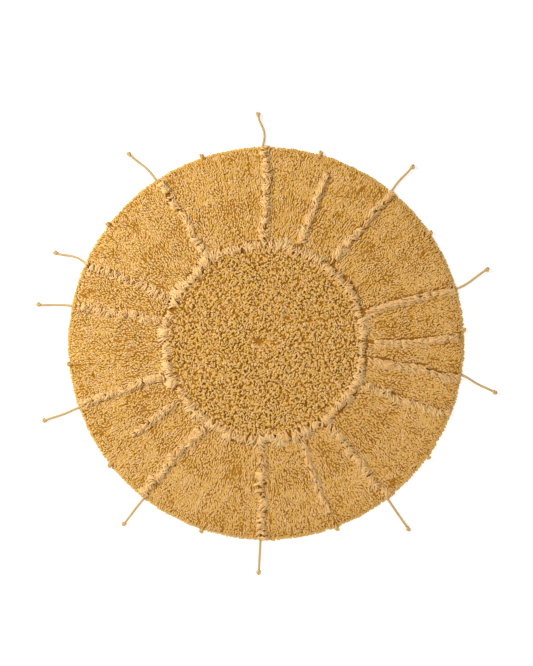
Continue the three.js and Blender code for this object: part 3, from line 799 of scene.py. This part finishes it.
# Degrees between ray and locks, which way they fall, from -1, towards smaller angles, to 1, and their
# curl in radians
RAYS = [
    {"splay": 17, "fall": -1.0, "curl": 0.3}, {"splay": 15, "fall": -0.9, "curl": 0.2},
    {"splay": 26, "fall": 0.0, "curl": 0.3}, {"splay": 24, "fall": 0.3, "curl": 0.3},
    {"splay": 40, "fall": 0.0, "curl": 0.6}, {"splay": 46, "fall": 0.0, "curl": 0.8},
    {"splay": 56, "fall": 0.0, "curl": 1.8}, {"splay": 50, "fall": 0.0, "curl": 2.0},
    {"splay": 36, "fall": 0.0, "curl": 0.8}, {"splay": 30, "fall": 0.2, "curl": 0.4},
    {"splay": 42, "fall": 0.0, "curl": 0.7}, {"splay": 58, "fall": 0.0, "curl": 0.5},
    {"splay": 24, "fall": 0.3, "curl": 0.3}, {"splay": 38, "fall": 0.0, "curl": 0.5},
    {"splay": 34, "fall": -0.5, "curl": 0.5}, {"splay": 24, "fall": -1.0, "curl": 0.4},
]


# The line of a ray and half its width at given radii, from the stations of its solid
class RayLine:
    def __init__(self, node):
        foot = foot_corners(node)
        radii = np.hypot(*foot.T)
        heading = math.atan2(*foot.mean(axis=0)[::-1])
        off = (np.arctan2(foot[:, 1], foot[:, 0]) - heading + np.pi) % (2 * np.pi) - np.pi
        order = np.argsort(radii)
        order = order[radii[order] > ring_edge(1, np.array([heading]))[0] + RAY_CLEAR]
        pairs = order[len(order) % 2:].reshape(-1, 2)
        self.radii = radii[pairs].mean(axis=1)
        self.angles = heading + off[pairs].mean(axis=1)
        self.halves = np.abs(off[pairs[:, 0]] - off[pairs[:, 1]]) * self.radii / 2
        self.end = self.radii[-1]

    def angle(self, radii):
        return np.interp(radii, self.radii, self.angles)

    def half(self, radii):
        return np.interp(radii, self.radii, self.halves)


ray_lines = [RayLine(f"ray_{number:02d}") for number in range(1, len(RAYS) + 1)]


# The paths, radii and tones of one ray's locks
def ray_locks(number, rng):
    line, manner = ray_lines[number - 1], RAYS[number - 1]
    start = ring_middle + RAY_START
    reach = RAY_RIM_REACH if line.end > RUNS_OUT_FROM else line.end
    count = int((reach - start) / RAY_LOCK_STEP)
    radii = np.sort(rng.uniform(start, reach - RAY_END, count))
    which, across, half = bunches(radii - start, RAY_BUNCH, rng)
    each = rng.normal(size=(which.max() + 1, 5))[which]
    side = np.where(manner["fall"] + 0.6 * each[:, 0] + 0.5 * rng.normal(size=count) > 0, 1, -1)
    loose = 0.16 + 0.14 * manner["curl"]
    lean = math.radians(manner["splay"]) * (1 + 0.4 * each[:, 1]) + loose * rng.normal(size=count)
    lean = np.clip(lean, *LEANS)
    halves = line.half(radii)
    off = halves * (-0.3 * side * np.sin(lean) + (0.9 - 0.4 * np.sin(lean)) * rng.uniform(-1, 1, count))
    off += 0.2 * manner["fall"] * halves
    aside = halves * (1.0 + 0.2 * each[:, 2] + 0.12 * rng.normal(size=count)) - off * side
    longest = RAY_LONGEST + RAY_LONGEST_SPREAD * rng.normal(size=count)
    lengths = np.clip(aside / np.sin(lean), RAY_SHORTEST, longest)
    room = np.maximum(reach - radii, LEAST_ROOM)
    lengths = np.minimum(lengths, room / np.cos(lean) + RAY_OVERHANG)
    angles = line.angle(radii) + off / radii
    roots = np.stack([radii * np.cos(angles), radii * np.sin(angles), np.full(count, LOCK_ROOT)], axis=1)
    thickness = LOCK_RADIUS * (1 + LOCK_UNEVEN * rng.normal(size=count))
    curls = manner["curl"] * each[:, 3] + 2 * loose * rng.normal(size=count)
    drawn = 2 * BUNCH_DRAW * side * across * half * np.sin(lean) / lengths
    lifts = RAY_LIFTS["bunch"] * each[:, 4] + RAY_LIFTS["lock"] * rng.normal(size=count)
    lifts -= 0.8 * BUNCH_NOTCH * across**2
    headings = angles + side * lean + drawn - curls / 2
    paths, radii = laid_yarns(roots, headings, lengths, curls, thickness, lifts, np.inf, LOCK_BED,
                              LOCK_WAYS, LOCK_RISES, LOCK_SWELLS)
    return paths, radii, 0.5 + 0.08 * each[:, 1] + 0.18 * rng.normal(size=count)


for number in range(1, len(ray_lines) + 1):
    yarns = ray_locks(number, np.random.default_rng(100 + number))
    ray = make_piece(f"ray_locks_{number:02d}", *tubes(*yarns, LOCK_SIDES), beige_yarn)
    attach(ray, "root")
    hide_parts(f"ray_{number:02d}")

# The gold field: short cut pile between the ring and the rim, whose yarns stand in lines that run
# outwards and lie over towards the rim. It leaves room for the rays, and its last rows make the fringe
# of the rug.
FIELD_LINE_STEP = 0.0049  # between the lines
FIELD_STEP = 0.0078  # between the yarns of a line
FIELD_START = 0.012  # from the first row back to the outer edge of the ring where it is narrowest
FIELD_YARN_RADIUS = 0.0029
FIELD_YARN_SIDES = 4
FIELD_SECTORS = 3  # the field is kept in as many pieces
FIELD_LIE = 0.0098  # length of a yarn from its root to its last ring, seen from above
FIELD_WAYS = [0.0, 0.30, 1.0]
FIELD_RISES = [0.0, 0.97, 1.0]
FIELD_SWELLS = [1.1, 0.95]
FIELD_CEILING = 0.0158  # the pile stays below this beside the ring and the rays
FIELD_UNDER_RING = 0.010  # how far the pile goes on under the locks of the ring
FIELD_INSIDE = 0.0020  # how far its last roots stand inside the edge of the cloth
ROOT_DEPTH = 0.001  # of the roots in the ground
FIELD_OUT_OF_PLACE = {"out": 0.0015, "aside": 0.0010}  # how far yarns stand from their even places
ROUGH_SIZE = 0.15  # between the places where the yarns lie less evenly
PATCH_SIZES = [0.06, 0.022]  # between those where they stand higher and lie lower
STREAK_SIZE = 0.12  # between those where one line stands out beside the next
SWAY_SIZE = 0.10  # between those where they lean to one side
FIELD_LIFT = 0.0008  # by which streaks and patches stand higher
FIELD_UNEVEN = [0.0002, 0.0003]  # how unevenly high yarns stand, and how much more in the rough places
PARTED_LINES = 0.16  # share of the lines that open up in places
PARTED_DEPTH = 0.0019  # by which they lie lower there
FRINGE_ROWS = [0.0009, 0.0034]  # how far the last rows stand inside the edge of the cloth
FRINGE_STEP = 0.0050
FRINGE_YARN_RADIUS = 0.0025
FRINGE_CEILING = 0.0070  # height of the lowest yarns of the fringe
FRINGE_REACH = 0.0100  # of its last rings beyond the edge of the cloth
FRINGE_WANDERS = [(0.0007, 0.12), (0.0013, 0.022)]  # how far that reach wanders, and over what size
FRINGE_SWAY_SIZE = 0.03
FRINGE_UNEVEN = 0.0009  # how unevenly high its yarns lie
CEILING_UNEVEN = 0.001  # and the lowest ones besides

# Gold yarn, painted with shade that deepens and saturates its colour towards each root
gold_yarn = yarn_material(
    "gold_yarn",
    {"Darkest": (0.77, 0.48, 0.03), "Middle": (0.82, 0.53, 0.09), "Lightest": (0.90, 0.64, 0.36),
     "Second Ply": (0.91, 0.67, 0.36), "Painted Shade Colour": (0.90, 0.60, 0.24)},
    {"Plies": 2, "Turns": 1.5, "Ply Mix": 0.5, "Painted Shade Strength": 1.0, "Fibre Mix": 0.10},
)


# The places of yarns in lines that run out from the middle like combed hair, with a new line wherever
# two have spread far enough apart: their radii, their angles and the number of their line
def combed_lines(inner, outer, line_step, step, rng):
    count = round(2 * np.pi * inner / line_step)
    angles = 2 * np.pi * (np.arange(count) + 0.2 * rng.uniform(-1, 1, count)) / count
    lines = np.arange(count)
    lots = []
    for row in np.arange(inner, outer, step):
        gaps = (np.roll(angles, -1) - angles) % (2 * np.pi)
        wide = gaps * row > 1.5 * line_step
        angles = np.concatenate([angles, angles[wide] + gaps[wide] / 2])
        lines = np.concatenate([lines, lines.max() + 1 + np.arange(wide.sum())])
        angles = angles % (2 * np.pi)
        order = np.argsort(angles)
        angles, lines = angles[order], lines[order]
        after = (np.roll(angles, -1) - angles) % (2 * np.pi)
        before = (angles - np.roll(angles, 1)) % (2 * np.pi)
        angles = angles + 0.2 * (after - before)
        lots.append(np.stack([np.full(len(angles), row), angles, lines]))
    radii, angles, lines = np.concatenate(lots, axis=1)
    lines = lines.astype(int)
    radii += step * rng.uniform(0, 1, lines.max() + 1)[lines]
    return radii, angles % (2 * np.pi), lines


# Which yarns stand in a ray's channel. Where its locks all fall to one side, the channel shows beside
# them as a gap.
def under_a_ray(radii, angles):
    covered = np.zeros(len(radii), bool)
    for line, manner in zip(ray_lines, RAYS):
        off = (angles - line.angle(radii) + np.pi) % (2 * np.pi) - np.pi
        share = off * radii / line.half(radii)
        near = (share > -0.55 - 0.35 * manner["fall"]) & (share < 0.55 - 0.35 * manner["fall"])
        covered |= near & (radii < line.end)
    return covered


# The paths, radii, tones and directions of the field's yarns
def field_yarns(rng):
    inner = ring_edges[1][1].min() - FIELD_START
    radii, angles, lines = combed_lines(inner, CLOTH_RADIUS, FIELD_LINE_STEP, FIELD_STEP, rng)
    radii += FIELD_OUT_OF_PLACE["out"] * rng.normal(size=len(radii))
    angles += FIELD_OUT_OF_PLACE["aside"] * rng.normal(size=len(radii)) / radii
    kept = ~under_a_ray(radii, angles) & (radii < edge_of_cloth(angles) - FIELD_INSIDE)
    kept &= radii > ring_edge(1, angles) - FIELD_UNDER_RING
    radii, angles, lines = radii[kept], angles[kept], lines[kept]
    count = len(radii)
    x, y = radii * np.cos(angles), radii * np.sin(angles)
    roots = np.stack([x, y, ground_height(x, y) - ROOT_DEPTH], axis=1)
    thickness = FIELD_YARN_RADIUS * (1 + 0.10 * rng.normal(size=count))
    rough = 0.5 + 0.5 * np.clip(1.3 * swells(x, y, ROUGH_SIZE, rng), -1, 1)
    patches = 0.8 * swells(x, y, PATCH_SIZES[0], rng) + 0.8 * swells(x, y, PATCH_SIZES[1], rng)
    streaks = rng.normal(size=lines.max() + 1)[lines]
    streaks = streaks * np.clip(0.5 + swells(x, y, STREAK_SIZE, rng), 0, 1)
    lengths = FIELD_LIE * (1 + 0.12 * rng.normal(size=count)) * (1.1 - 0.3 * rough)
    curls = 0.3 * rng.normal(size=count)
    headings = angles + (0.06 + 0.26 * rough) * rng.normal(size=count)
    headings += 0.4 * swells(x, y, SWAY_SIZE, rng)
    parted = rng.uniform(size=lines.max() + 1)[lines] < PARTED_LINES
    parted &= swells(x, y, SWAY_SIZE, rng) > 0.2
    lifts = (FIELD_UNEVEN[0] + FIELD_UNEVEN[1] * rough) * rng.normal(size=count) + FIELD_LIFT * streaks
    lifts += FIELD_LIFT * patches
    lifts -= PARTED_DEPTH * parted
    paths, widths = laid_yarns(roots, headings, lengths, curls, thickness, lifts, FIELD_CEILING, NO_BED,
                               FIELD_WAYS, FIELD_RISES, FIELD_SWELLS)
    # Where a line parts and lies lower its yarns are painted darker, as painted shade; streaks and patches
    # that stand higher are a little lighter.
    tones = 0.5 + 0.05 * streaks + 0.05 * patches - 0.2 * parted + 0.3 * rng.normal(size=count)
    return paths, widths, tones, angles


# The same for the last rows, which lie out over the edge of the cloth
def fringe_yarns(rng):
    count = round(2 * np.pi * CLOTH_RADIUS / FRINGE_STEP)
    inside = np.repeat(FRINGE_ROWS, count)
    places = np.tile(np.arange(count), len(FRINGE_ROWS)) + 0.3 * rng.uniform(-1, 1, len(inside))
    angles = 2 * np.pi * places / count % (2 * np.pi)
    radii = edge_of_cloth(angles) - inside
    count = len(radii)
    x, y = radii * np.cos(angles), radii * np.sin(angles)
    roots = np.stack([x, y, ground_height(x, y) - ROOT_DEPTH], axis=1)
    thickness = FRINGE_YARN_RADIUS * (1 + 0.1 * rng.normal(size=count))
    wander = sum(depth * swells(x, y, size, rng) for depth, size in FRINGE_WANDERS)
    reach = FRINGE_REACH * (1 - 0.30 * rng.uniform(0, 1, count)) + wander
    lengths = inside + reach
    headings = angles + 0.18 * rng.normal(size=count) + 0.15 * swells(x, y, FRINGE_SWAY_SIZE, rng)
    lifts = FRINGE_UNEVEN * rng.normal(size=count)
    lowest = inside == FRINGE_ROWS[0]
    low_ceilings = FRINGE_CEILING + CEILING_UNEVEN * rng.normal(size=count)
    ceilings = np.where(lowest, low_ceilings, FIELD_CEILING)
    curls = 0.3 * rng.normal(size=count)
    paths, widths = laid_yarns(roots, headings, lengths, curls, thickness, lifts, ceilings, NO_BED,
                               FIELD_WAYS, FIELD_RISES, FIELD_SWELLS)
    # The fringe's yarns are a darker tone on the whole than the field's.
    return paths, widths, 0.35 + 0.2 * rng.normal(size=count), angles


field_lots = zip(field_yarns(np.random.default_rng(31)), fringe_yarns(np.random.default_rng(12)))
paths, radii, tones, field_angles = [np.concatenate(lots) for lots in field_lots]
for sector in range(FIELD_SECTORS):
    chosen = (field_angles * FIELD_SECTORS / (2 * np.pi)).astype(int) == sector
    yarns = tubes(paths[chosen], radii[chosen], tones[chosen], FIELD_YARN_SIDES)
    field = make_piece(f"gold_field_{sector + 1}", *yarns, gold_yarn)
    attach(field, "root")

# The gold disc inside the ring: the same yarn, longer and not combed, so that its ends curl over in
# every direction. It is punched in rows round the middle, with dark gaps between them and a small hollow
# beside the middle.
DISC_ROW_STEP = 0.0074
DISC_STEP = 0.0058  # between the yarns of a row
DISC_FIRST_ROW = 0.005  # radius of the innermost row
DISC_ROW_SHIFT = 0.0008  # by which every other row stands nearer to the next: wide gaps and narrow ones
DISC_EDGE_ROW = 0.0012  # from the last row to the ring
DISC_YARN_RADIUS = 0.0028
DISC_YARN_SIDES = 4
DISC_LIE = 0.0106
DISC_WAYS = [0.0, 0.22, 0.62, 1.0]
DISC_RISES = [0.0, 0.9, 1.0, 0.8]
DISC_SWELLS = [1.0, 1.1, 0.95]
DISC_CEILING = 0.0225
HOLLOW = (-0.025, 0.009)  # the middle of the small hollow
HOLLOW_REACH = 0.022  # round the hollow, in which the yarns lie away from it
HOLLOW_GROUND = 0.27  # share of that reach in which there are no yarns
LIGHT_YARNS = [(-0.060, -0.003), (-0.015, -0.021)]  # the ends of the few light yarns beside the hollow
LIGHT_YARNS_WIDTH = 0.012
DISC_UNEVEN = 0.0012  # how unevenly high the yarns stand
LIGHT_LIFT = 0.001  # by which the light ones stand higher
DISC_PARTING_SIZE = 0.10  # between the curved lines along which the pile parts
DISC_PARTED_DEPTH = 0.0025  # by which it lies lower there


# The places of yarns in rows round the middle, as radii and angles. The last row follows the inner edge
# of the ring.
def disc_rows(rng):
    radii, angles = [], []
    rows = np.arange(DISC_FIRST_ROW, ring_edges[0][1].max(), DISC_ROW_STEP)
    rows += DISC_ROW_SHIFT * (-1) ** np.arange(len(rows))
    for row in (*rows, ring_edges[0][1].mean()):
        count = max(3, round(2 * np.pi * row / DISC_STEP))
        places = np.arange(count) + rng.uniform() + 0.38 * rng.uniform(-1, 1, count)
        angles.append(2 * np.pi * places / count % (2 * np.pi))
        radii.append(row + 0.32 * DISC_ROW_STEP * rng.uniform(-1, 1, count))
    last_radii = ring_edge(0, angles[-1]) - DISC_EDGE_ROW
    radii, angles, last_angles = np.concatenate(radii[:-1]), np.concatenate(angles[:-1]), angles[-1]
    kept = radii < ring_edge(0, angles) - DISC_EDGE_ROW - 0.3 * DISC_STEP
    return np.concatenate([radii[kept], last_radii]), np.concatenate([angles[kept], last_angles])


# The paths, radii and tones of the disc's yarns
def disc_yarns(rng):
    radii, angles = disc_rows(rng)
    count = len(radii)
    headings = rng.uniform(0, 2 * np.pi, count)
    curls = rng.choice([-1, 1], count) * rng.uniform(0.4, 2.4, count)
    at_edge = radii > ring_edge(0, angles) - DISC_LIE
    headings[at_edge] = angles[at_edge] + 0.8 * rng.normal(size=at_edge.sum())
    curls[at_edge] *= 0.4
    x, y = radii * np.cos(angles), radii * np.sin(angles)
    from_hollow = np.hypot(0.6 * (x - HOLLOW[0]), y - HOLLOW[1])
    around = from_hollow < HOLLOW_REACH
    headings[around] = np.arctan2(y - HOLLOW[1], x - HOLLOW[0])[around]
    curls[around] = 0.3
    first, last = np.array(LIGHT_YARNS)
    ahead = unit(last - first)
    along = (x - first[0]) * ahead[0] + (y - first[1]) * ahead[1]
    aside = (y - first[1]) * ahead[0] - (x - first[0]) * ahead[1]
    light = (along > 0) & (along < np.linalg.norm(last - first))
    light &= np.abs(aside) < LIGHT_YARNS_WIDTH / 2
    headings[light] = math.atan2(ahead[1], ahead[0])
    curls[light] = 0.2
    roots = np.stack([x, y, np.full(count, DISC_GROUND_HEIGHT - ROOT_DEPTH)], axis=1)
    lengths = DISC_LIE * (1 + 0.2 * rng.normal(size=count))
    thickness = DISC_YARN_RADIUS * (1 + 0.12 * rng.normal(size=count))
    parted = np.abs(swells(x, y, DISC_PARTING_SIZE, rng)) < 0.10
    parted &= swells(x, y, DISC_PARTING_SIZE, rng) > 0
    lifts = DISC_UNEVEN * rng.normal(size=count) + np.where(light, LIGHT_LIFT, 0)
    lifts -= DISC_PARTED_DEPTH * parted
    paths, widths = laid_yarns(roots, headings, lengths, curls, thickness, lifts, DISC_CEILING, NO_BED,
                               DISC_WAYS, DISC_RISES, DISC_SWELLS)
    # Where the pile parts and lies lower its yarns are painted darker, as painted shade.
    tones = np.where(light, 1.0, 0.5 + 0.3 * rng.normal(size=count) - 0.25 * parted)
    grown = from_hollow >= HOLLOW_GROUND * HOLLOW_REACH
    return paths[grown], widths[grown], tones[grown]


disc = make_piece("gold_disc", *tubes(*disc_yarns(np.random.default_rng(47)), DISC_YARN_SIDES), gold_yarn)
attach(disc, "root")
